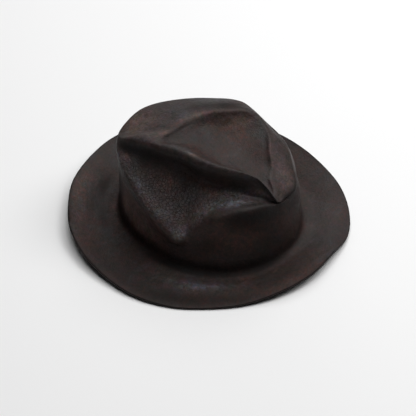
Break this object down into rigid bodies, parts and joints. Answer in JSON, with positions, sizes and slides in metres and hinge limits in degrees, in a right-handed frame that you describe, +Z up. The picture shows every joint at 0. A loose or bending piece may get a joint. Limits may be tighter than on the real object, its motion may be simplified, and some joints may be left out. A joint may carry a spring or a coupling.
{
  "type": "fedora hat",
  "caption": "Moulded leather fedora with a crushed teardrop crown, pinched front, wavy raw-edged brim and a reeded leather sweatband inside.",
  "frame": {"origin": "middle of the hat's outline, on the surface that the brim rests on", "axes": "+Z up, -Y to the front of the hat, -X to the wearer's right"},
  "size_m": [0.3034, 0.3124, 0.1177],
  "materials": {
    "body_leather": "waxed, burnished and distressed",
    "sweat_leather": "smooth matt",
    "reed_plastic": "matt",
    "tape_cloth": "plain woven tape",
    "pale_thread": "twisted thread",
    "dark_thread": "waxed twisted thread",
    "satin": "satin ribbon",
    "tab_leather": "natural, matt"
  },
  "bodies": {
    "root": {"hat_body": "body_leather", "sweatband": "sweat_leather", "reed": "reed_plastic", "reed_tape": "tape_cloth", "tape_stitches": "pale_thread", "band_stitches": "dark_thread", "back_tape": "tape_cloth", "back_stitches": "dark_thread", "bow_ribbon": "satin", "bow_knot": "satin", "bow_stitches": "dark_thread", "size_tab": "tab_leather", "tab_stitches": "dark_thread"}
  },
  "joints": []
}
